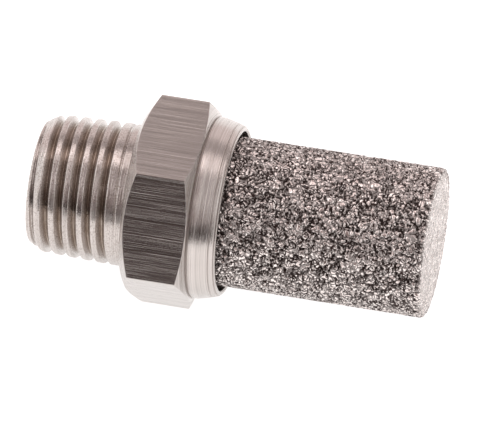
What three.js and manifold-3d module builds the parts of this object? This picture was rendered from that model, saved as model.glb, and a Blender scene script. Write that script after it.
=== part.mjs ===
// Pneumatic muffler, all stainless steel. The body is turned in one piece from hexagon bar:
// a tapered male pipe thread, a hexagon for a spanner, and a round collar whose lip is rolled
// inward. The lip traps the flange of a sintered cup, the element, which lets the air out
// through its porous wall.
//
// Millimetres. The axis is +X, from the end face of the thread to the closed end of the
// element, and the muffler lies on one flat of its hexagon, so +Z is up. Positions along the
// axis are measured from the end face of the thread; the origin is the middle of the length.

import * as THREE from 'three';
import { mergeVertices } from 'three/addons/utils/BufferGeometryUtils.js';
import Module from 'manifold-3d';

const wasm = await Module();
wasm.setup();

// Overall
const LENGTH = 37.2;
const AROUND = 48; // facets of every round surface, and steps in one turn of the thread

// Tapered male pipe thread, R 1/4: 19 turns to the inch, diameter growing by 1 in 16
const THREAD_LENGTH = 9.4; // from the end face to the hexagon
const PITCH = 25.4 / 19;
const GAUGE_DISTANCE = 6; // the nominal diameter is this far from the end face
const GAUGE_RADIUS = 13.157 / 2;
const TAPER_PER_SIDE = 1 / 32;
const PLAIN_RADIUS = 6.6; // the unthreaded end of the shank, beside the hexagon
const END_FACE_RADIUS = 5.7;
const LEAD_IN_SLOPE = Math.tan(THREE.MathUtils.degToRad(30));
const GROOVE_DEPTH = 0.72;
const GROOVE_ROOT_WIDTH = 0.1;
const FLANK_SLOPE = Math.tan(THREE.MathUtils.degToRad(27.5));
const GROOVE_START = -0.9;
const RUN_OUT_START = 7.2; // the groove grows shallow from here
const RUN_OUT_END = 9;
const GROOVE_PHASE = THREE.MathUtils.degToRad(135); // where the groove starts, from +Y to +Z
const CUTTER_STANDS_PROUD = 0.2;

// Hexagon
const ACROSS_FLATS = 17.46;
const HEX_END = 15.7;
const THREAD_SIDE_FACE_RADIUS = 8.1; // the flat ring left inside the chamfer
const THREAD_SIDE_CHAMFER = Math.tan(THREE.MathUtils.degToRad(31));
const COLLAR_SIDE_CHAMFER = Math.tan(THREE.MathUtils.degToRad(21));

// Collar and its rolled lip
const COLLAR_RADIUS = 8.45;
const COLLAR_CYLINDER_END = 16.3;
const CREASE = { at: 17.7, radius: 8.08 }; // where the roller stopped
const LIP_TIP = 18.35;
const LIP_EDGE = { at: 18.2, radius: 7.42 };
const LIP_ROUND_STEPS = 4;

// Hollows of the body
const BORE_RADIUS = 4;
const BORE_CHAMFER = 0.4;
const SEAT = 14.5; // floor of the pocket that holds the element
const POCKET_RADIUS = 7.85;
const POCKET_STRAIGHT_END = 17.1;

// Sintered element
const SEAT_GAP = 0.3;
const FLANGE_RADIUS = 7.6;
const FLANGE_LENGTH = 2;
const ELEMENT_RADIUS = 6.95;
const ELEMENT_EDGE = 0.3; // the worn corner of the closed end
const CAVITY_RADIUS = 4.7;
const CLOSED_END_THICKNESS = 2.5;

// An outline runs in the direction of +X as a list of [position along the axis, radius].
function revolve(outline) {
  const points = outline.map(([along, radius]) => new THREE.Vector2(radius, along));
  return new THREE.LatheGeometry(points, AROUND).rotateZ(-Math.PI / 2);
}

// A hexagonal prism along +X, with two of its flats facing up and down.
function hexagonPrism(acrossFlats, start, end) {
  const corner = acrossFlats / Math.sqrt(3);
  const shape = new THREE.Shape();
  for (let k = 0; k < 6; k += 1) {
    const angle = Math.PI / 2 + (k * Math.PI) / 3;
    const point = [corner * Math.cos(angle), corner * Math.sin(angle)];
    if (k === 0) shape.moveTo(...point);
    else shape.lineTo(...point);
  }
  const prism = new THREE.ExtrudeGeometry(shape, { depth: end - start, bevelEnabled: false });
  return prism.rotateY(Math.PI / 2).translate(start, 0, 0);
}

function toSolid(geometry) {
  geometry.deleteAttribute('normal');
  geometry.deleteAttribute('uv');
  const merged = mergeVertices(geometry);
  const corners = merged.index.array;
  const triangles = [];
  for (let i = 0; i < corners.length; i += 3) {
    const [a, b, c] = corners.slice(i, i + 3);
    if (a !== b && b !== c && c !== a) triangles.push(a, b, c);
  }
  return new wasm.Manifold(new wasm.Mesh({
    numProp: 3,
    vertProperties: new Float32Array(merged.attributes.position.array),
    triVerts: new Uint32Array(triangles),
  }));
}

function toGeometry(solid) {
  const { vertProperties, triVerts } = solid.getMesh();
  const geometry = new THREE.BufferGeometry();
  geometry.setAttribute('position', new THREE.BufferAttribute(vertProperties, 3));
  geometry.setIndex(new THREE.BufferAttribute(triVerts, 1));
  geometry.computeVertexNormals();
  return geometry;
}

function crestRadius(along) {
  return Math.min(GAUGE_RADIUS + (along - GAUGE_DISTANCE) * TAPER_PER_SIDE, PLAIN_RADIUS);
}

// The shank before its groove is cut: lead-in cone, taper, then a plain stretch.
function shank() {
  const coneAtEndFace = crestRadius(0);
  const leadIn = (coneAtEndFace - END_FACE_RADIUS) / (LEAD_IN_SLOPE - TAPER_PER_SIDE);
  const taperEnd = GAUGE_DISTANCE + (PLAIN_RADIUS - GAUGE_RADIUS) / TAPER_PER_SIDE;
  const insideHexagon = THREAD_LENGTH + 1;
  return toSolid(revolve([
    [0, 0],
    [0, END_FACE_RADIUS],
    [leadIn, crestRadius(leadIn)],
    [taperEnd, PLAIN_RADIUS],
    [insideHexagon, PLAIN_RADIUS],
    [insideHexagon, 0],
  ]));
}

// One section of the thread cutter: the four corners of a V with a narrow flat root.
function grooveSection(along, angle) {
  const fade = THREE.MathUtils.clamp((along - RUN_OUT_START) / (RUN_OUT_END - RUN_OUT_START), 0, 1);
  const crest = crestRadius(along);
  const root = crest - GROOVE_DEPTH * (1 - fade) + fade * CUTTER_STANDS_PROUD / 2;
  const top = crest + CUTTER_STANDS_PROUD;
  const rootHalf = GROOVE_ROOT_WIDTH / 2;
  const topHalf = rootHalf + (top - root) * FLANK_SLOPE;
  const corners = [[-topHalf, top], [-rootHalf, root], [rootHalf, root], [topHalf, top]];
  return corners.map(([aside, radius]) => [
    along + aside, radius * Math.cos(angle), radius * Math.sin(angle),
  ]);
}

// The groove is cut right-handed: it turns from +Y to +Z as it goes towards the hexagon.
function threadCutter() {
  const turns = (RUN_OUT_END - GROOVE_START) / PITCH;
  const steps = Math.round(turns * AROUND);
  const positions = [];
  for (let i = 0; i <= steps; i += 1) {
    const turned = (i * 2 * Math.PI) / AROUND;
    const along = GROOVE_START + (i * PITCH) / AROUND;
    positions.push(...grooveSection(along, GROOVE_PHASE + turned).flat());
  }
  const index = [0, 2, 1, 0, 3, 2];
  for (let i = 0; i < steps; i += 1) {
    for (let side = 0; side < 4; side += 1) {
      const a = 4 * i + side;
      const b = 4 * i + ((side + 1) % 4);
      index.push(a, b, a + 4, b, b + 4, a + 4);
    }
  }
  const last = 4 * steps;
  index.push(last, last + 1, last + 2, last, last + 2, last + 3);
  const geometry = new THREE.BufferGeometry();
  geometry.setAttribute('position', new THREE.Float32BufferAttribute(positions, 3));
  geometry.setIndex(index);
  return toSolid(geometry);
}

// The hexagon, chamfered by cones on both of its ends.
function hexagon() {
  const corner = ACROSS_FLATS / Math.sqrt(3);
  const threadSide = THREAD_LENGTH + (corner - THREAD_SIDE_FACE_RADIUS) * THREAD_SIDE_CHAMFER;
  const collarSide = HEX_END - (corner - COLLAR_RADIUS) * COLLAR_SIDE_CHAMFER;
  const facetedCorner = corner / Math.cos(Math.PI / AROUND);
  const cones = revolve([
    [THREAD_LENGTH, 0],
    [THREAD_LENGTH, THREAD_SIDE_FACE_RADIUS],
    [threadSide, facetedCorner],
    [collarSide, facetedCorner],
    [HEX_END, COLLAR_RADIUS],
    [HEX_END, 0],
  ]);
  const prism = hexagonPrism(ACROSS_FLATS, THREAD_LENGTH, HEX_END);
  return toSolid(prism).intersect(toSolid(cones));
}

// The rounded end of the lip, from the crease to the edge that faces the element.
function lipRound() {
  const points = [];
  for (let k = 1; k <= LIP_ROUND_STEPS; k += 1) {
    const angle = (k / (LIP_ROUND_STEPS + 1)) * (Math.PI / 2);
    points.push([
      CREASE.at + (LIP_TIP - CREASE.at) * Math.sin(angle),
      LIP_EDGE.radius + (CREASE.radius - LIP_EDGE.radius) * Math.cos(angle),
    ]);
  }
  return points;
}

function collar() {
  return toSolid(revolve([
    [HEX_END - 1, 0],
    [HEX_END - 1, COLLAR_RADIUS],
    [COLLAR_CYLINDER_END, COLLAR_RADIUS],
    [CREASE.at, CREASE.radius],
    ...lipRound(),
    [LIP_EDGE.at, LIP_EDGE.radius],
    [LIP_EDGE.at, 0],
  ]));
}

// The air passage and the pocket, as one solid that is cut out of the body.
function bodyHollow() {
  const beyond = 1;
  return toSolid(revolve([
    [-beyond, 0],
    [-beyond, BORE_RADIUS + BORE_CHAMFER + beyond],
    [BORE_CHAMFER, BORE_RADIUS],
    [SEAT, BORE_RADIUS],
    [SEAT, POCKET_RADIUS],
    [POCKET_STRAIGHT_END, POCKET_RADIUS],
    [LIP_EDGE.at, LIP_EDGE.radius],
    [LIP_TIP + beyond, LIP_EDGE.radius],
    [LIP_TIP + beyond, 0],
  ]));
}

function threadedBody() {
  const thread = shank().subtract(threadCutter());
  return thread.add(hexagon()).add(collar()).subtract(bodyHollow());
}

// A cup with a flange round its mouth: the outside of the wall, then the cavity.
function sinteredElement() {
  const base = SEAT + SEAT_GAP;
  const cavityEnd = LENGTH - CLOSED_END_THICKNESS;
  return toSolid(revolve([
    [cavityEnd, 0],
    [cavityEnd, CAVITY_RADIUS],
    [base, CAVITY_RADIUS],
    [base, FLANGE_RADIUS],
    [base + FLANGE_LENGTH, FLANGE_RADIUS],
    [base + FLANGE_LENGTH, ELEMENT_RADIUS],
    [LENGTH - ELEMENT_EDGE, ELEMENT_RADIUS],
    [LENGTH, ELEMENT_RADIUS - ELEMENT_EDGE],
    [LENGTH, 0],
  ]));
}

function namedMesh(name, solid, color, roughness, metalness) {
  const material = new THREE.MeshStandardMaterial({ color, roughness, metalness });
  const mesh = new THREE.Mesh(toGeometry(solid), material);
  mesh.name = name;
  return mesh;
}

const muffler = new THREE.Group();
muffler.position.x = -LENGTH / 2;
muffler.add(namedMesh('threaded_body', threadedBody(), 0xb3aaa4, 0.3, 1));
muffler.add(namedMesh('sintered_element', sinteredElement(), 0x958b88, 0.6, 1));

export default muffler;
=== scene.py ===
import math

import bpy
import numpy as np
from mathutils import Matrix, Vector


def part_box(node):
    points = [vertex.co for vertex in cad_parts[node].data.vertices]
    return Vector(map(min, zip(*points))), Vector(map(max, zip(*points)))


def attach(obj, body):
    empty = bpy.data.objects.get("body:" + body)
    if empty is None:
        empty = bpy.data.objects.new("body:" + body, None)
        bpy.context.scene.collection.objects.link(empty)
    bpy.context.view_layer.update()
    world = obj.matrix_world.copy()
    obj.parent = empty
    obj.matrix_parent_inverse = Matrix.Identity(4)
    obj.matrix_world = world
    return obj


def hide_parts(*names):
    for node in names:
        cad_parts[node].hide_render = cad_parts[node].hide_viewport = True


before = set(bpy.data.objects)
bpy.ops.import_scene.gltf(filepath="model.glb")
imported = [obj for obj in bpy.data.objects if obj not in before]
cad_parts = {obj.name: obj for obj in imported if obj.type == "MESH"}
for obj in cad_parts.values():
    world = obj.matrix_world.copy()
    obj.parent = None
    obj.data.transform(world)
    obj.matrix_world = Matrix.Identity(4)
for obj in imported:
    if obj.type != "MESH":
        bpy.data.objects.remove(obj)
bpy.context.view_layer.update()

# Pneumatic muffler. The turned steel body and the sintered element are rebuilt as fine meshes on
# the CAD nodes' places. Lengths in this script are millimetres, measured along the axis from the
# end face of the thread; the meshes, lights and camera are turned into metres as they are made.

MM = 0.001
BODY_LOW, BODY_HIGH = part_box("threaded_body")
ELEMENT_LOW, ELEMENT_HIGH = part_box("sintered_element")
THREAD_END = BODY_LOW.x
LENGTH = (ELEMENT_HIGH.x - THREAD_END) / MM
BODY_LENGTH = (BODY_HIGH.x - THREAD_END) / MM
FLOOR_HEIGHT = BODY_LOW.z

# Thread
THREAD_LENGTH = 9.4
PITCH = 25.4 / 19
GAUGE_DISTANCE = 6.0
GAUGE_RADIUS = 13.157 / 2
TAPER_PER_SIDE = 1 / 32
PLAIN_RADIUS = 6.6
END_FACE_RADIUS = 5.7
LEAD_IN_SLOPE = math.tan(math.radians(30))
GROOVE_DEPTH = 0.72
GROOVE_ROOT_WIDTH = 0.1
FLANK_SLOPE = math.tan(math.radians(27.5))
GROOVE_START = -0.9
GROOVE_PHASE = math.radians(135)
RUN_OUT_START, RUN_OUT_END = 7.2, 9.0
CREST_ROUNDING = 0.08
ROOT_ROUNDING = 0.03
LEAD_IN_ROUNDING = 0.1
END_FACE_BREAK = 0.06       # the first ring of the thread is this far from the end face
THREAD_RING_SPACING = 0.055
CREST_WEAR = 0.02
WEAR_PATCHES = 40           # worn and unworn stretches in one turn
WEAR_SEED = 11

# Hexagon and collar
FLAT_DISTANCE = BODY_HIGH.z / MM
HEX_CORNER_ROUNDING = 0.12
HEX_END = 15.7
THREAD_SIDE_FACE_RADIUS = 8.1
THREAD_SIDE_CHAMFER = math.tan(math.radians(31))
COLLAR_SIDE_CHAMFER = math.tan(math.radians(21))
COLLAR_RADIUS = 8.45
COLLAR_CYLINDER_END = 16.3
UNDERCUT_DEPTH = 0.2        # the small groove where the collar meets the hexagon
CREASE_AT, CREASE_RADIUS = 17.7, 8.08
CREASE_GROOVE_DEPTH = 0.08
LIP_AT, LIP_RADIUS = 18.2, 7.42
BORE_RADIUS = 4.0
BORE_CHAMFER = 0.4
SEAT = 14.5
POCKET_RADIUS = 7.85
POCKET_STRAIGHT_END = 17.1

# Sintered element
ELEMENT_BASE = (ELEMENT_LOW.x - THREAD_END) / MM
FLANGE_RADIUS = ELEMENT_HIGH.y / MM
FLANGE_LENGTH = 2.0
ELEMENT_RADIUS = 6.95
ELEMENT_EDGE = 0.3
RIM_LENGTH = 0.4            # this far from the closed end the wall counts as pressed flatter, and its painted shade fades out
RIM_SHADE_LOSS = 0.4          # how much of the painted shade between the chips is taken off at the rim
EDGE_PRESSED = 0.3          # how flat the rounded edge counts, from 0 like the wall to 1 like the end; it thins the painted shade lines there
EDGE_FADE = 0.5             # how far in from the edge the closed end counts as less flat, with stronger painted shade lines
END_FACE_RELIEF = 0.4       # the closed end is pressed flatter than the wall
CAVITY_RADIUS = 4.7
CAVITY_END = LENGTH - 2.5
ELEMENT_COLUMNS = 484       # a multiple of 4, because a square grid fills the closed end

FINISHES = ("thread", "turned", "hexagon", "bore")


# ---------------------------------------------------------------- meshes

def smooth_min(a, b, width):
    """The smaller of two values, with the corner between them rounded off."""
    blend = np.clip(0.5 + 0.5 * (b - a) / width, 0, 1)
    return b + (a - b) * blend - width * blend * (1 - blend)


def smooth_noise(rng, counts, points):
    """Random values on a grid that repeats in every direction, read smoothly at the points."""
    grid = rng.uniform(-1, 1, counts)
    low = [np.floor(p).astype(int) for p in points]
    part = [p - f for p, f in zip(points, low)]
    part = [p * p * (3 - 2 * p) for p in part]
    total = 0
    for corner in range(2 ** len(counts)):
        weight, index = 1, []
        for axis, count in enumerate(counts):
            step = (corner >> axis) & 1
            weight = weight * (part[axis] if step else 1 - part[axis])
            index.append((low[axis] + step) % count)
        total = total + weight * grid[tuple(index)]
    return total


def ring_to_points(along, radius, angles):
    return np.stack([along, radius * np.cos(angles), radius * np.sin(angles)], -1)


def band_faces(rings, columns, closed):
    """Quads between neighbouring rings of vertices; a closed set joins its last ring to its first."""
    last = rings if closed else rings - 1
    ring = np.arange(last)[:, None]
    column = np.arange(columns)[None, :]
    here, there = ring * columns, ((ring + 1) % rings) * columns
    side = (column + 1) % columns
    corners = (here + column, here + side, there + side, there + column)
    return np.stack(np.broadcast_arrays(*corners), -1).reshape(-1, 4)


def make_object(name, points, faces, body, node):
    """A mesh object from points in millimetres; it stands for one CAD node and rides on a body."""
    mesh = bpy.data.meshes.new(name)
    placed = points * MM + np.array([THREAD_END, 0, 0])
    mesh.from_pydata(placed.tolist(), [], faces)
    mesh.validate()
    mesh.shade_smooth()
    piece = bpy.data.objects.new(name, mesh)
    bpy.context.scene.collection.objects.link(piece)
    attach(piece, body)
    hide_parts(node)
    return piece


def add_attribute(piece, name, values):
    attribute = piece.data.attributes.new(name, "FLOAT", "POINT")
    attribute.data.foreach_set("value", np.ascontiguousarray(values, np.float32))


# ---------------------------------------------------------------- threaded body

def body_angles():
    """Angles of the body's mesh columns, from +Y to +Z, crowded beside each hexagon corner."""
    beside = [0.1, 0.2, 0.3, 0.4, 0.6]
    span = 60 - 2 * beside[-1]
    steps = 52
    spread = [beside[-1] + span * k / steps for k in range(1, steps)]
    sector = [0.0] + beside + spread + [60 - b for b in reversed(beside)]
    return np.radians([60 * k + a for k in range(6) for a in sector])


def hexagon_radius(angles):
    """Distance from the axis to the hexagon's side, its corners slightly rounded."""
    off_corner = (np.degrees(angles) + 30) % 60 - 30
    off_corner = np.radians(np.abs(off_corner))
    half = math.radians(30)
    flat = FLAT_DISTANCE / np.cos(half - off_corner)
    centre = (FLAT_DISTANCE - HEX_CORNER_ROUNDING) / math.cos(half)
    inside = np.maximum(HEX_CORNER_ROUNDING ** 2 - (centre * np.sin(off_corner)) ** 2, 0)
    corner = centre * np.cos(off_corner) + np.sqrt(inside)
    reach = math.atan2(HEX_CORNER_ROUNDING * math.sin(half),
                       centre + HEX_CORNER_ROUNDING * math.cos(half))
    return np.where(off_corner < reach, corner, flat)


def crest_radius(along):
    return np.minimum(GAUGE_RADIUS + (along - GAUGE_DISTANCE) * TAPER_PER_SIDE, PLAIN_RADIUS)


def thread_ring(along, angles, wear):
    """Radius and groove depth of the threaded shank at one place along it, at every angle."""
    crest = crest_radius(along)
    lead_in = END_FACE_RADIUS + along * LEAD_IN_SLOPE
    shank = smooth_min(crest, lead_in, LEAD_IN_ROUNDING) * np.ones_like(angles)
    turned = GROOVE_START + PITCH * (angles - GROOVE_PHASE) / (2 * math.pi)
    aside = (along - turned + PITCH / 2) % PITCH - PITCH / 2
    fade = np.clip((along - aside - RUN_OUT_START) / (RUN_OUT_END - RUN_OUT_START), 0, 1)
    root = crest - GROOVE_DEPTH * (1 - fade) + 2 * CREST_ROUNDING * fade
    past_root = np.abs(aside) - GROOVE_ROOT_WIDTH / 2
    flank = root - smooth_min(-past_root / FLANK_SLOPE, 0 * aside, ROOT_ROUNDING)
    radius = smooth_min(shank, flank, CREST_ROUNDING)
    depth = np.clip((shank - radius) / GROOVE_DEPTH, 0, 1)
    return radius - wear * (1 - depth), depth


def rounded_corner(before, corner, after, radius, steps=4):
    """Points round a corner, on the circle that touches both of the straight runs beside it."""
    back, ahead = before - corner, after - corner
    back = back / np.linalg.norm(back, axis=0)
    ahead = ahead / np.linalg.norm(ahead, axis=0)
    half = np.arccos(np.clip((back * ahead).sum(0), -1, 1)) / 2
    bisector = back + ahead
    bisector = bisector / np.linalg.norm(bisector, axis=0)
    centre = corner + bisector * radius / np.sin(half)
    start = corner + back * radius / np.tan(half) - centre
    end = corner + ahead * radius / np.tan(half) - centre
    sweep = math.pi - 2 * half
    points = []
    for k in range(steps + 1):
        part = k / steps
        turned = np.sin((1 - part) * sweep) * start + np.sin(part * sweep) * end
        points.append(centre + turned / np.sin(sweep))
    return points


def outline_points(corners, columns):
    """Rings along straight runs between rounded corners. A corner is (along, radius, rounding,
    rings in the run that follows, finish of that run); the first and last are not rounded."""
    places = [np.array([c[0] * np.ones(columns), c[1] * np.ones(columns)]) for c in corners]
    rings, finishes = [], []
    for i, (_, _, rounding, count, finish) in enumerate(corners):
        if rounding and 0 < i < len(corners) - 1:
            arc = rounded_corner(places[i - 1], places[i], places[i + 1], rounding)
        else:
            arc = [places[i]]
        rings += arc
        finishes += [finish] * len(arc)
        if i < len(corners) - 1:
            target = places[i + 1]
            for k in range(1, count + 1):
                rings.append(arc[-1] + (target - arc[-1]) * k / (count + 1.5))
                finishes.append(finish)
    return rings, finishes


def body_outline(angles):
    """Every ring of the body: bore mouth, end face, thread, hexagon, collar, lip, pocket, bore."""
    columns = len(angles)
    rng = np.random.default_rng(WEAR_SEED)
    hexagon = hexagon_radius(angles)
    thread_side = THREAD_LENGTH + (hexagon - THREAD_SIDE_FACE_RADIUS) * THREAD_SIDE_CHAMFER
    collar_side = HEX_END - (hexagon - COLLAR_RADIUS) * COLLAR_SIDE_CHAMFER
    rings, finishes = outline_points([
        (0, BORE_RADIUS + BORE_CHAMFER, 0, 3, "turned"),
        (0, END_FACE_RADIUS, 0, 0, "turned"),
    ], columns)
    rings, finishes = rings[:-1], finishes[:-1]
    rings.append(np.array([np.zeros(columns), np.full(columns, END_FACE_RADIUS - END_FACE_BREAK)]))
    finishes.append("turned")

    depths = [np.zeros(columns)] * len(rings)
    count = int((THREAD_LENGTH - 0.1 - END_FACE_BREAK) / THREAD_RING_SPACING)
    patch = angles / (2 * math.pi) * WEAR_PATCHES
    for k in range(count):
        along = END_FACE_BREAK + k * THREAD_RING_SPACING
        worn = smooth_noise(rng, (WEAR_PATCHES,), [patch]) ** 2 * CREST_WEAR
        radius, depth = thread_ring(along, angles, worn)
        rings.append(np.array([np.full(columns, along), radius]))
        finishes.append("thread")
        depths.append(depth)

    rest, rest_finishes = outline_points([
        (END_FACE_BREAK + count * THREAD_RING_SPACING, PLAIN_RADIUS, 0, 0, "thread"),
        (THREAD_LENGTH, PLAIN_RADIUS, 0.06, 2, "turned"),
        (THREAD_LENGTH, THREAD_SIDE_FACE_RADIUS, 0.05, 6, "turned"),
        (thread_side, hexagon, 0.05, 12, "hexagon"),
        (collar_side, hexagon, 0.05, 6, "turned"),
        (HEX_END, COLLAR_RADIUS + 0.04, 0.03, 1, "bore"),
        (HEX_END + 0.06, COLLAR_RADIUS - UNDERCUT_DEPTH, 0.03, 1, "bore"),
        (HEX_END + 0.18, COLLAR_RADIUS, 0.03, 5, "turned"),
        (COLLAR_CYLINDER_END, COLLAR_RADIUS, 0.25, 8, "turned"),
        (CREASE_AT - 0.05, CREASE_RADIUS + 0.02, 0.02, 1, "turned"),
        (CREASE_AT, CREASE_RADIUS - CREASE_GROOVE_DEPTH, 0.02, 1, "bore"),
        (CREASE_AT + 0.05, CREASE_RADIUS - 0.01, 0.02, 2, "turned"),
        (BODY_LENGTH - 0.2, LIP_RADIUS + 0.5, 0.03, 1, "bore"),
        (BODY_LENGTH - 0.16, LIP_RADIUS + 0.36, 0.02, 1, "bore"),
        (BODY_LENGTH - 0.1, LIP_RADIUS + 0.43, 0.02, 1, "turned"),
        (BODY_LENGTH, LIP_RADIUS + 0.28, 0.03, 1, "turned"),
        (BODY_LENGTH, LIP_RADIUS + 0.1, 0.03, 1, "turned"),
        (LIP_AT, LIP_RADIUS, 0.04, 2, "bore"),
        (POCKET_STRAIGHT_END, POCKET_RADIUS, 0.2, 3, "bore"),
        (SEAT, POCKET_RADIUS, 0.1, 3, "bore"),
        (SEAT, BORE_RADIUS, 0.05, 12, "bore"),
        (BORE_CHAMFER, BORE_RADIUS, 0.05, 1, "turned"),
        (0, BORE_RADIUS + BORE_CHAMFER, 0, 0, "turned"),
    ], columns)
    rings += rest[:-1]
    finishes += rest_finishes[:-1]
    depths += [np.zeros(columns)] * (len(rest) - 1)
    return rings, finishes, depths


def threaded_body():
    angles = body_angles()
    rings, finishes, depths = body_outline(angles)
    points = np.array([ring_to_points(along, radius, angles) for along, radius in rings])
    faces = band_faces(len(rings), len(angles), closed=True)
    piece = make_object("turned_body", points.reshape(-1, 3), faces.tolist(),
                        "root", "threaded_body")
    add_attribute(piece, "groove", np.concatenate(depths))
    for finish in FINISHES:
        piece.data.materials.append(BODY_MATERIALS[finish]())
    kinds = np.repeat([FINISHES.index(f) for f in finishes], len(angles))
    piece.data.polygons.foreach_set("material_index", kinds.astype(np.int32))
    weighted = piece.modifiers.new("even_normals", "WEIGHTED_NORMAL")
    weighted.weight = 50
    return piece


# ---------------------------------------------------------------- sintered element

CHIP_CELL = 0.04            # spacing of the height map that the chips are stamped on
CHIP_FLOOR = -0.35          # how deep the gaps between chips go
CHIP_TOP = -0.001           # how high the chips reach, just inside the element's radius
CHIP_TOP_ROUNDING = 0.03
CHIP_KINDS = (              # broad plates, long curls and crumbs; lengths and widths are half sizes
    dict(share=0.05, length=(0.3, 0.5), width=(0.2, 0.32),
         bend=0.3, sunk=0.06, tilt=0.08, edge=0.2),
    dict(share=0.50, length=(0.18, 0.42), width=(0.05, 0.1),
         bend=3.0, sunk=0.13, tilt=0.28, edge=0.16),
    dict(share=0.45, length=(0.08, 0.16), width=(0.06, 0.11),
         bend=1.0, sunk=0.15, tilt=0.38, edge=0.16),
)
CHIPS_PER_SQUARE_MM = 38
GAP_REACH = 0.14            # a gap is a place lower than the mean height this far round it
GAP_SHADE_DEPTH = 0.12            # painted shade is darkest this far below that mean
WALL_SEED, END_FACE_SEED = 5, 9
WALL_SHIFT, END_FACE_SHIFT = 0.4, 0.3   # how far a vertex may move to a ridge, in mesh spacings


def stamp_chip(heights, tones, rng, kind, wrap):
    """Lays one chip on the height map: a bent, tilted oval plate with rounded edges."""
    rows, cols = heights.shape
    length, width = rng.uniform(*kind["length"]), rng.uniform(*kind["width"])
    row, col = rng.uniform(0, rows), rng.uniform(0, cols)
    turn = rng.uniform(0, 2 * math.pi)
    bend = rng.uniform(-1, 1) * kind["bend"]
    top = -abs(rng.normal(0, kind["sunk"]))
    tilt_long, tilt_wide = rng.normal(0, kind["tilt"], 2)
    tone = rng.uniform(0, 1)
    reach = int(math.ceil(1.25 * max(length, width) / CHIP_CELL)) + 1
    near_rows = np.arange(int(row) - reach, int(row) + reach + 1)
    near_cols = np.arange(int(col) - reach, int(col) + reach + 1)
    if not wrap:
        near_cols = near_cols[(near_cols >= 0) & (near_cols < cols)]
    near_rows = near_rows[(near_rows >= 0) & (near_rows < rows)]
    down = (near_rows[:, None] - row) * CHIP_CELL
    across = (near_cols[None, :] - col) * CHIP_CELL
    u = across * math.cos(turn) + down * math.sin(turn)
    v = down * math.cos(turn) - across * math.sin(turn)
    v = v - bend * (u * u - length * length / 3)
    outside = np.abs(u / length) ** 3 + np.abs(v / width) ** 3
    plate = top + tilt_long * u + tilt_wide * v - kind["edge"] * outside ** 2
    window = np.ix_(near_rows, near_cols % cols)
    old = heights[window]
    higher = (outside < 1) & (plate > old)
    heights[window] = np.where(higher, plate, old)
    tones[window] = np.where(higher, tone, tones[window])


def chip_map(rows, cols, seed, wrap):
    """Heights below the mould's surface, and one tone for each chip, for a patch of sintering."""
    rng = np.random.default_rng(seed)
    heights = np.full((rows, cols), CHIP_FLOOR)
    tones = np.zeros((rows, cols))
    shares = [kind["share"] for kind in CHIP_KINDS]
    count = int(rows * cols * CHIP_CELL ** 2 * CHIPS_PER_SQUARE_MM)
    for choice in rng.choice(len(CHIP_KINDS), count, p=shares):
        stamp_chip(heights, tones, rng, CHIP_KINDS[choice], wrap)
    flush = smooth_min(heights, np.zeros_like(heights), CHIP_TOP_ROUNDING)
    return np.clip(flush, CHIP_FLOOR, CHIP_TOP), tones


def blurred(values, reach, wrap):
    """Mean of a map over a square that reaches so many millimetres each way."""
    cells = max(1, int(round(reach / CHIP_CELL)))
    rows = np.pad(values, ((cells, cells), (0, 0)), "edge")
    both = np.pad(rows, ((0, 0), (cells, cells)), "wrap" if wrap else "edge")
    sums = np.pad(both.cumsum(0).cumsum(1), ((1, 0), (1, 0)))
    size = 2 * cells + 1
    total = sums[size:, size:] - sums[:-size, size:] - sums[size:, :-size] + sums[:-size, :-size]
    return total / size ** 2


def most_telling(heights, rows, cols, reach, wrap):
    """Moves each sampling place a little, onto the sharpest ridge or gap beside it."""
    detail = heights - blurred(heights, GAP_REACH, wrap)
    best, best_rows, best_cols = np.full(rows.shape, -1.0), rows, cols
    for down in (0, -reach, reach):
        for across in (0, -reach, reach):
            strength = np.abs(read_map(detail, rows + down, cols + across, wrap))
            better = strength > best * 1.02
            best = np.where(better, strength, best)
            best_rows = np.where(better, rows + down, best_rows)
            best_cols = np.where(better, cols + across, best_cols)
    return best_rows, best_cols


def read_map(values, rows, cols, wrap):
    """Reads a map between its cells, wrapping round its columns if it goes round a cylinder."""
    low_r, low_c = np.floor(rows).astype(int), np.floor(cols).astype(int)
    part_r, part_c = rows - low_r, cols - low_c
    total = 0
    for step_r, weight_r in ((0, 1 - part_r), (1, part_r)):
        for step_c, weight_c in ((0, 1 - part_c), (1, part_c)):
            r = np.clip(low_r + step_r, 0, values.shape[0] - 1)
            c = low_c + step_c
            c = c % values.shape[1] if wrap else np.clip(c, 0, values.shape[1] - 1)
            total = total + values[r, c] * weight_r * weight_c
    return total


def disc_grid(side):
    """Places of a square grid drawn out to fill a disc of radius 1, its edge evenly spaced."""
    line = np.linspace(-1, 1, side + 1)
    a, b = np.meshgrid(line, line, indexing="ij")
    wide = np.abs(a) > np.abs(b)
    safe_a, safe_b = np.where(a == 0, 1, a), np.where(b == 0, 1, b)
    angle = np.where(wide, math.pi / 4 * b / safe_a, math.pi / 2 - math.pi / 4 * a / safe_b)
    reach = np.where(wide, a, b)
    return reach * np.cos(angle), reach * np.sin(angle)


def disc_edge(side):
    """Grid places round the edge of disc_grid, in order of angle, from its first corner."""
    walk = [(side, k) for k in range(side // 2, side)]
    walk += [(side - k, side) for k in range(side)]
    walk += [(0, side - k) for k in range(side)]
    walk += [(k, 0) for k in range(side)]
    walk += [(side, k) for k in range(side // 2)]
    return walk


def gap_shade_share(heights, wrap):
    """Painted shade, from 0 on a chip's top to 1 deep down between the chips."""
    return np.clip((blurred(heights, GAP_REACH, wrap) - heights) / GAP_SHADE_DEPTH, 0, 1)


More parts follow.
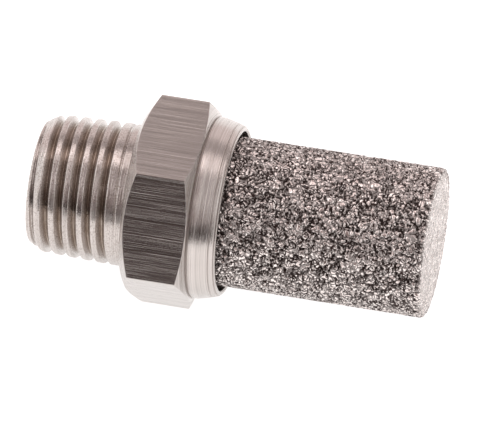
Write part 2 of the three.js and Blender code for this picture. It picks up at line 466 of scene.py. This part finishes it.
def element_wall(angles):
    """Places, heights, painted shade between the chips, and tones of the outside wall, from the
    flange to the rim.
    """
    start, seen = ELEMENT_BASE + FLANGE_LENGTH, BODY_LENGTH - 0.6
    spacing = 2 * math.pi * ELEMENT_RADIUS / len(angles)
    end = LENGTH - ELEMENT_EDGE
    hidden = np.linspace(start, seen, 7)[:-1]
    shown = np.linspace(seen, end, int((end - seen) / spacing * 0.97) + 1)
    along = np.concatenate([hidden, shown])
    rows = int((end + 1 - start) / CHIP_CELL) + 1
    cols = int(round(2 * math.pi * ELEMENT_RADIUS / CHIP_CELL))
    heights, tones = chip_map(rows, cols, WALL_SEED, True)
    row = (along[:, None] - start) / CHIP_CELL + 0 * angles[None, :]
    col = angles[None, :] / (2 * math.pi) * cols + 0 * along[:, None]
    moved_row, moved_col = most_telling(heights, row, col, WALL_SHIFT * spacing / CHIP_CELL, True)
    held = np.zeros(len(along), bool)
    held[:len(hidden) + 1] = held[-1] = True
    moved_row = np.where(held[:, None], row, moved_row)
    maps = (heights, gap_shade_share(heights, True), tones)
    values = [read_map(m, moved_row, moved_col, True) for m in maps]
    return start + moved_row * CHIP_CELL, moved_col / cols * 2 * math.pi, *values


def element_disc(side):
    """Places, heights, painted shade between the chips, and tones of the closed end, on the square
    grid that fills it.
    """
    radius = ELEMENT_RADIUS - ELEMENT_EDGE
    a, b = disc_grid(side)
    cells = int(2 * (radius + 0.5) / CHIP_CELL)
    heights, tones = chip_map(cells, cells, END_FACE_SEED, False)
    row, col = (a * radius / CHIP_CELL + cells / 2), (b * radius / CHIP_CELL + cells / 2)
    shift = END_FACE_SHIFT * 2 * radius / side / CHIP_CELL
    moved_row, moved_col = most_telling(heights, row, col, shift, False)
    inside = np.zeros(a.shape, bool)
    inside[1:-1, 1:-1] = True
    row, col = np.where(inside, moved_row, row), np.where(inside, moved_col, col)
    maps = (heights, gap_shade_share(heights, False), tones)
    values = [read_map(m, row, col, False) for m in maps]
    y, z = (row - cells / 2) * CHIP_CELL, (col - cells / 2) * CHIP_CELL
    return y, z, *values


def sintered_element():
    angles = np.arange(ELEMENT_COLUMNS) * 2 * math.pi / ELEMENT_COLUMNS
    columns = len(angles)
    one = np.ones(columns)
    rings, gap_shade_rings, tones, pressed = [], [], [], []

    def add_ring(along, radius, gap_shade=0.0, tone=0.5, turned=angles, line_shade_fade=0.0):
        rings.append(ring_to_points(along * one, radius * one, turned))
        gap_shade_rings.append(gap_shade * one)
        tones.append(tone * one)
        pressed.append(line_shade_fade * one)

    for along in np.linspace(CAVITY_END, ELEMENT_BASE, 8):
        add_ring(along, CAVITY_RADIUS)
    add_ring(ELEMENT_BASE, FLANGE_RADIUS - 0.05)
    add_ring(ELEMENT_BASE + 0.05, FLANGE_RADIUS)
    add_ring(ELEMENT_BASE + FLANGE_LENGTH - 0.05, FLANGE_RADIUS)
    add_ring(ELEMENT_BASE + FLANGE_LENGTH - 0.001, FLANGE_RADIUS - 0.05)

    places, turns, heights, wall_gap_shades, wall_tones = element_wall(angles)
    rim = np.clip((places - (LENGTH - RIM_LENGTH)) / RIM_LENGTH, 0, 1)
    # the painted shade between the chips fades out towards the rim
    wall_gap_shades = wall_gap_shades * (1 - RIM_SHADE_LOSS * rim)
    for k in range(len(places)):
        radius = ELEMENT_RADIUS + heights[k]
        add_ring(places[k], radius, wall_gap_shades[k], wall_tones[k], turns[k], rim[k])
    for lift in (30, 60):
        turn = math.radians(lift)
        fall = -heights[-1] * 0.8
        inset = ELEMENT_EDGE * (1 - math.cos(turn)) + fall * math.cos(turn)
        drop = ELEMENT_EDGE * (1 - math.sin(turn)) + fall * math.sin(turn)
        add_ring(LENGTH - drop, ELEMENT_RADIUS - inset, wall_gap_shades[-1], wall_tones[-1],
                 line_shade_fade=EDGE_PRESSED)

    side = ELEMENT_COLUMNS // 4
    y, z, disc_heights, disc_gap_shades, disc_tones = element_disc(side)
    disc = np.stack([LENGTH + disc_heights * END_FACE_RELIEF, y, z], -1).reshape(-1, 3)
    rings_count = len(rings)
    first = rings_count * columns
    points = np.concatenate([np.array(rings).reshape(-1, 3), disc, [[CAVITY_END, 0, 0]]])

    faces = band_faces(rings_count, columns, closed=False).tolist()
    grid = first + np.arange((side + 1) ** 2).reshape(side + 1, side + 1)
    squares = np.stack([grid[:-1, :-1], grid[1:, :-1], grid[1:, 1:], grid[:-1, 1:]], -1)
    faces += squares.reshape(-1, 4).tolist()
    edge = [int(grid[place]) for place in disc_edge(side)]
    last_ring = (rings_count - 1) * columns
    for k in range(columns):
        after = (k + 1) % columns
        faces.append([last_ring + k, last_ring + after, edge[after], edge[k]])
    middle = len(points) - 1
    faces += [[middle, (k + 1) % columns, k] for k in range(columns)]

    piece = make_object("sintered_cup", points, faces,
                        "root", "sintered_element")
    # painted shade: how deep down between the chips each point lies, for the material to darken
    add_attribute(piece, "gap_shade", np.concatenate([*gap_shade_rings, disc_gap_shades.ravel() * END_FACE_RELIEF, [0]]))
    # the closed end's tones are lifted into the bright half: painted light on the end face
    add_attribute(piece, "tone", np.concatenate([*tones, disc_tones.ravel() * 0.5 + 0.5, [0.5]]))
    inward = ELEMENT_RADIUS - ELEMENT_EDGE - np.hypot(y, z).ravel()
    end_pressed = np.clip(EDGE_PRESSED + inward / EDGE_FADE, 0, 1)
    # how flat each point counts, which thins the painted shade lines there
    add_attribute(piece, "pressed", np.concatenate([*pressed, end_pressed, [0]]))
    piece.data.materials.append(sintered_material())
    return piece


# ---------------------------------------------------------------- materials

class Nodes:
    """A material's node tree, with short calls that make a node and link its inputs."""

    def __init__(self, name):
        self.material = bpy.data.materials.new(name)
        self.material.use_nodes = True
        self.tree = self.material.node_tree
        self.shader = self.tree.nodes["Principled BSDF"]
        self.place = self.node("ShaderNodeTexCoord").outputs["Object"]

    def node(self, kind, inputs=None, **settings):
        made = self.tree.nodes.new(kind)
        for key, value in settings.items():
            setattr(made, key, value)
        for key, value in (inputs or {}).items():
            self.put(value, made.inputs[key])
        return made

    def put(self, value, socket):
        if isinstance(value, bpy.types.NodeSocket):
            self.tree.links.new(value, socket)
        else:
            socket.default_value = value

    def math(self, operation, a, b=0.0):
        return self.node("ShaderNodeMath", {0: a, 1: b}, operation=operation).outputs[0]

    def noise(self, vector, scale, detail=3.0, roughness=0.55):
        values = {"Vector": vector, "Scale": scale, "Detail": detail, "Roughness": roughness}
        return self.node("ShaderNodeTexNoise", values).outputs["Fac"]

    def voronoi(self, vector, scale, feature, output):
        values = {"Vector": vector, "Scale": scale}
        return self.node("ShaderNodeTexVoronoi", values, feature=feature).outputs[output]

    def curled(self, scale, amount):
        """Coordinates pushed about by noise, so that round cells become bent flakes."""
        values = {"Vector": self.place, "Scale": scale, "Detail": 1.0}
        noise = self.node("ShaderNodeTexNoise", values)
        push = self.node("ShaderNodeVectorMath", {0: noise.outputs["Color"], 1: (-0.5, -0.5, -0.5)},
                         operation="ADD").outputs["Vector"]
        push = self.node("ShaderNodeVectorMath", {0: push, "Scale": amount}, operation="SCALE")
        return self.node("ShaderNodeVectorMath", {0: self.place, 1: push.outputs["Vector"]},
                         operation="ADD").outputs["Vector"]

    def stretched(self, vector, scale):
        return self.node("ShaderNodeMapping", {"Vector": vector, "Scale": scale}).outputs["Vector"]

    def remap(self, value, low, high, to_low=0.0, to_high=1.0):
        values = {"Value": value, "From Min": low, "From Max": high,
                  "To Min": to_low, "To Max": to_high}
        return self.node("ShaderNodeMapRange", values).outputs["Result"]

    def mix(self, factor, a, b):
        node = self.node("ShaderNodeMix", data_type="RGBA")
        self.put(factor, node.inputs["Factor"])
        self.put(a, node.inputs[6])
        self.put(b, node.inputs[7])
        return node.outputs[2]

    def attribute(self, name):
        return self.node("ShaderNodeAttribute", attribute_name=name).outputs["Fac"]

    def bump(self, height, distance, strength=1.0, under=None):
        values = {"Height": height, "Distance": distance, "Strength": strength}
        if under is not None:
            values["Normal"] = under
        return self.node("ShaderNodeBump", values).outputs["Normal"]

    def round_place(self, along_scale, radius_scale):
        """Coordinates that hardly change round the axis, so a texture on them makes rings."""
        split = self.node("ShaderNodeSeparateXYZ", {"Vector": self.place}).outputs
        squares = self.math("ADD", self.math("MULTIPLY", split["Y"], split["Y"]),
                            self.math("MULTIPLY", split["Z"], split["Z"]))
        radius = self.math("SQRT", squares)
        values = {"X": self.math("MULTIPLY", split["X"], along_scale),
                  "Y": self.math("MULTIPLY", radius, radius_scale),
                  "Z": self.math("MULTIPLY", split["Y"], 60.0)}
        return self.node("ShaderNodeCombineXYZ", values).outputs["Vector"]


STEEL = (0.64, 0.597, 0.57, 1)
STEEL_DARK = (0.46, 0.42, 0.395, 1)
STAIN = (0.2, 0.145, 0.12, 1)
# brown painted shade for the thread roots
ROOT_SHADE_BROWN = (0.31, 0.248, 0.2, 1)
CHIP_DULL, CHIP_BRIGHT = (0.66, 0.56, 0.53, 1), (1.0, 0.94, 0.9, 1)
# painted highlight colour for the flakes' rims
CHIP_EDGE_HIGHLIGHT = (0.99, 0.93, 0.9, 1)
CHIP_GRAIN = (0.3, 0.24, 0.22, 1)
# brown-black painted shade for the hollows between chips and flakes
GAP_SHADE_BLACK = (0.035, 0.02, 0.017, 1)
FLAKES_PER_METRE = 2200.0


def turned_material():
    """Turned steel: fine rings from the tool, a little uneven, on bright metal."""
    n = Nodes("turned_steel")
    rings = n.noise(n.round_place(9000.0, 9000.0), 1.0, 4.0, 0.6)
    patches = n.noise(n.place, 260.0, 3.0)
    color = n.mix(n.remap(rings, 0.35, 0.65), STEEL_DARK, STEEL)
    color = n.mix(n.remap(patches, 0.3, 0.7, 0.0, 0.35), color, STEEL_DARK)
    n.put(color, n.shader.inputs["Base Color"])
    n.shader.inputs["Metallic"].default_value = 1.0
    n.put(n.remap(patches, 0.3, 0.7, 0.15, 0.27), n.shader.inputs["Roughness"])
    n.put(n.bump(rings, 0.00006), n.shader.inputs["Normal"])
    return n.material


def thread_material():
    """Thread: mottled, lightly torn crests, and roots painted brown and darker as painted shade."""
    n = Nodes("thread_steel")
    groove = n.attribute("groove")
    rings = n.noise(n.round_place(14000.0, 9000.0), 1.0, 3.0)
    specks = n.noise(n.place, 8000.0, 2.0, 0.6)
    patches = n.noise(n.place, 500.0, 2.0)
    # painted shade: the deeper into the groove, the browner and darker the steel, in uneven patches
    root_shade = n.math("MULTIPLY", n.remap(groove, 0.5, 0.95), n.remap(patches, 0.3, 0.7, 0.6, 1.0))
    color = n.mix(n.remap(rings, 0.3, 0.7), STEEL_DARK, STEEL)
    color = n.mix(n.remap(specks, 0.5, 0.66, 0.0, 0.55), color, STAIN)
    color = n.mix(root_shade, color, ROOT_SHADE_BROWN)
    n.put(color, n.shader.inputs["Base Color"])
    n.shader.inputs["Metallic"].default_value = 1.0
    n.put(n.remap(patches, 0.35, 0.65, 0.16, 0.32), n.shader.inputs["Roughness"])
    under = n.bump(specks, 0.000008)
    n.put(n.bump(rings, 0.00003, 0.8, under), n.shader.inputs["Normal"])
    return n.material


def hexagon_material():
    """Drawn bar: fine streaks and scratches along the axis, with a few dark pits."""
    n = Nodes("hexagon_steel")
    streaks = n.noise(n.stretched(n.place, (60.0, 12000.0, 12000.0)), 1.0, 2.0, 0.6)
    broad = n.noise(n.stretched(n.place, (18.0, 2400.0, 2400.0)), 1.0, 2.0)
    pits = n.noise(n.stretched(n.place, (4500.0, 7000.0, 7000.0)), 1.0, 1.0)
    color = n.mix(n.remap(streaks, 0.38, 0.62, 0.1, 0.7), STEEL_DARK, STEEL)
    color = n.mix(n.remap(pits, 0.7, 0.76, 0.0, 0.6), color, STAIN)
    n.put(color, n.shader.inputs["Base Color"])
    n.shader.inputs["Metallic"].default_value = 1.0
    n.put(n.remap(broad, 0.35, 0.65, 0.13, 0.24), n.shader.inputs["Roughness"])
    under = n.bump(broad, 0.000004)
    n.put(n.bump(streaks, 0.000014, 1.0, under), n.shader.inputs["Normal"])
    return n.material


def bore_material():
    """Drilled and bored walls: darker, with coarser rings."""
    n = Nodes("bored_steel")
    rings = n.noise(n.round_place(6000.0, 6000.0), 1.0, 3.0)
    n.put(n.mix(rings, STEEL_DARK, STEEL), n.shader.inputs["Base Color"])
    n.shader.inputs["Metallic"].default_value = 1.0
    n.shader.inputs["Roughness"].default_value = 0.4
    n.put(n.bump(rings, 0.00002, 0.6), n.shader.inputs["Normal"])
    return n.material


BODY_MATERIALS = {"thread": thread_material, "turned": turned_material,
                  "hexagon": hexagon_material, "bore": bore_material}


def sintered_material():
    """Sintered chips: bright flattened tops, each chip its own tone, painted highlights along the
    flake edges, and brown-black painted shade down between the chips. Each chip of the mesh is broken
    up further into bent flakes with lines of painted shade between them."""
    n = Nodes("sintered_steel")
    tone, gap_shade, pressed = n.attribute("tone"), n.attribute("gap_shade"), n.attribute("pressed")
    curled = n.curled(1300.0, 0.0012)
    edge = n.voronoi(curled, FLAKES_PER_METRE, "DISTANCE_TO_EDGE", "Distance")
    flake_color = n.voronoi(curled, FLAKES_PER_METRE, "F1", "Color")
    flake = n.node("ShaderNodeSeparateColor", {"Color": flake_color}).outputs
    grain = n.noise(n.place, 9000.0, 2.0, 0.6)
    brightness = n.math("ADD", n.math("MULTIPLY", tone, 0.4), n.math("MULTIPLY", flake["Red"], 0.6))
    chip = n.mix(brightness, CHIP_DULL, CHIP_BRIGHT)
    chip = n.mix(n.remap(grain, 0.42, 0.62, 0.0, 0.25), chip, CHIP_GRAIN)
    # painted highlight: a pale band along the inside of each flake's edge
    chip = n.mix(n.remap(edge, 0.16, 0.28, 0.7, 0.0), chip, CHIP_EDGE_HIGHLIGHT)
    # painted shade: lines between the flakes, thinner where the surface counts as pressed flat
    lines = n.math("MULTIPLY", n.remap(edge, 0.09, 0.17, 1.0, 0.0),
                   n.remap(flake["Green"], 0.2, 0.6, 0.6, 1.0))
    lines = n.math("MULTIPLY", lines, n.remap(pressed, 0.0, 1.0, 1.0, 0.45))
    # painted shade: deep between the chips and along the flake lines the colour goes brown-black,
    # less metallic and rougher
    dark = n.math("MAXIMUM", n.remap(gap_shade, 0.2, 0.65, 0.0, 0.95), lines)
    n.put(n.mix(dark, chip, GAP_SHADE_BLACK), n.shader.inputs["Base Color"])
    n.put(n.remap(dark, 0.2, 0.9, 1.0, 0.0), n.shader.inputs["Metallic"])
    n.shader.inputs["Specular IOR Level"].default_value = 0.1
    n.put(n.remap(dark, 0.0, 1.0, 0.2, 0.7), n.shader.inputs["Roughness"])
    tilt = n.noise(n.place, 3000.0, 1.0)
    relief = n.math("ADD", n.remap(edge, 0.0, 0.28), n.math("MULTIPLY", flake["Blue"], 0.5))
    rough = n.bump(grain, 0.00001, 1.0, n.bump(tilt, 0.00006))
    n.put(n.bump(relief, 0.000035, 1.0, rough), n.shader.inputs["Normal"])
    return n.material


# ---------------------------------------------------------------- stage

VIEW_AZIMUTH, VIEW_ELEVATION = 14.0, 47.4
VIEW_ROLL = 1.4             # the axis falls a little less steeply to the right than when level
VIEW_DISTANCE = 0.6
FRAME_WIDTH = 0.04439       # width of what the camera sees at the muffler
AIM_RIGHT, AIM_DOWN = 0.000433, 0.00055
SENSOR = 36.0


def view_axes():
    """Right, up and backward directions of the level camera."""
    a, e = math.radians(VIEW_AZIMUTH), math.radians(VIEW_ELEVATION)
    back = Vector((math.sin(a) * math.cos(e), -math.cos(a) * math.cos(e), math.sin(e)))
    right = Vector((math.cos(a), math.sin(a), 0))
    return right, back.cross(right), back


def camera():
    right, up, back = view_axes()
    roll = Matrix.Rotation(math.radians(-VIEW_ROLL), 3, back)
    right, up = roll @ right, roll @ up
    aim = right * AIM_RIGHT - up * AIM_DOWN
    data = bpy.data.cameras.new("camera")
    data.sensor_width = SENSOR
    data.lens = SENSOR * VIEW_DISTANCE / FRAME_WIDTH
    data.clip_start, data.clip_end = 0.01, 10
    made = bpy.data.objects.new("camera", data)
    turn = Matrix((right, up, back)).transposed().to_4x4()
    made.matrix_world = Matrix.Translation(aim + back * VIEW_DISTANCE) @ turn
    bpy.context.scene.collection.objects.link(made)
    bpy.context.scene.camera = made


def floor():
    half = 1.5
    mesh = bpy.data.meshes.new("floor")
    corners = [(-half, -half, FLOOR_HEIGHT), (half, -half, FLOOR_HEIGHT),
               (half, half, FLOOR_HEIGHT), (-half, half, FLOOR_HEIGHT)]
    mesh.from_pydata(corners, [], [(0, 1, 2, 3)])
    plane = bpy.data.objects.new("floor", mesh)
    bpy.context.scene.collection.objects.link(plane)
    n = Nodes("pale_floor")
    n.shader.inputs["Base Color"].default_value = (0.5, 0.5, 0.5, 1)
    n.shader.inputs["Roughness"].default_value = 0.9
    n.shader.inputs["Emission Color"].default_value = (1, 1, 1, 1)
    n.shader.inputs["Emission Strength"].default_value = 0.9
    mesh.materials.append(n.material)


def softbox(name, direction, width, height, brightness, color=(1, 1, 1), distance=1.6):
    """A soft light that faces the muffler. Width and height are in degrees as seen from it."""
    back = Vector(direction).normalized()
    data = bpy.data.lights.new(name, "AREA")
    data.shape = "RECTANGLE"
    data.size = 2 * distance * math.tan(math.radians(width / 2))
    data.size_y = 2 * distance * math.tan(math.radians(height / 2))
    data.energy = brightness * math.pi * data.size * data.size_y
    data.color = color
    made = bpy.data.objects.new(name, data)
    sideways = Vector((0, 1, 0)) if abs(back.x) > 0.7 else Vector((1, 0, 0))
    right = (sideways - back * sideways.dot(back)).normalized()
    turn = Matrix((right, back.cross(right), back)).transposed().to_4x4()
    made.matrix_world = Matrix.Translation(back * distance) @ turn
    made.visible_camera = False
    bpy.context.scene.collection.objects.link(made)


def over_the_top(angle):
    """A direction square to the axis, from 0 in front, over the top, to 180 behind."""
    turn = math.radians(angle)
    return (-0.16, -math.cos(turn), math.sin(turn))


def studio():
    world = bpy.data.worlds.new("studio")
    bpy.context.scene.world = world
    world.use_nodes = True
    background = world.node_tree.nodes["Background"]
    background.inputs["Color"].default_value = (1.0, 0.8, 0.78, 1)
    background.inputs["Strength"].default_value = 0.09
    softbox("key", over_the_top(107), 90, 24, 1.65, (1.0, 0.9, 0.89))
    softbox("fill_middle", over_the_top(131), 100, 24, 0.4, (1.0, 0.88, 0.87))
    softbox("fill_back", over_the_top(162), 110, 38, 0.98, (1.0, 0.88, 0.87))
    softbox("fill_top", over_the_top(74), 90, 40, 0.4, (1.0, 0.86, 0.85))
    softbox("fill_front", over_the_top(39), 100, 32, 0.26, (1.0, 0.82, 0.8))
    softbox("side_left", (-1, -0.25, 0.55), 60, 60, 1.0)
    softbox("side_right", (1, -0.25, 0.55), 60, 60, 1.0)
    bpy.context.scene.view_settings.view_transform = "Standard"


threaded_body()
sintered_element()
camera()
floor()
studio()
